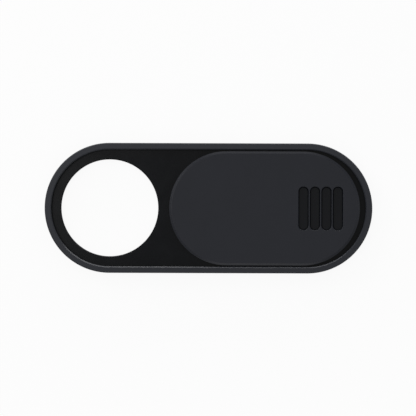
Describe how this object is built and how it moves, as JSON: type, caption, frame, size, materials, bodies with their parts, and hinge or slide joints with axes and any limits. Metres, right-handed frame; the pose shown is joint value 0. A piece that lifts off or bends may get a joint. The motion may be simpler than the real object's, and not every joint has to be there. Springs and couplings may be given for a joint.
{
  "type": "sliding webcam cover",
  "caption": "Thin stadium-shaped privacy cover for a built-in camera: a rimmed frame with a round lens hole, a slotted shutter that slides over it, and an adhesive back.",
  "frame": {"origin": "middle of the adhesive pad's sticky face, which is the middle of the cover's outline", "axes": "+X along the cover from the lens hole's end to the shutter's parked end, +Y across it, +Z out of the surface that it is stuck to"},
  "size_m": [0.018, 0.0072, 0.0009],
  "materials": {
    "frame_plastic": "moulded black plastic, fine satin texture on the rim, polished black in the tray",
    "shutter_plastic": "moulded black plastic, fine satin texture on the face, polished black in the grip slots",
    "pad_adhesive": "black double-sided acrylic foam tape, tacky sheen"
  },
  "bodies": {
    "frame": {"frame": "frame_plastic", "adhesive_pad": "pad_adhesive"},
    "shutter": {"shutter": "shutter_plastic"}
  },
  "joints": [
    {"name": "shutter_slide", "type": "slide", "parent": "frame", "child": "shutter", "axis": [-1, 0, 0], "range_m": [0, 0.00616]}
  ]
}
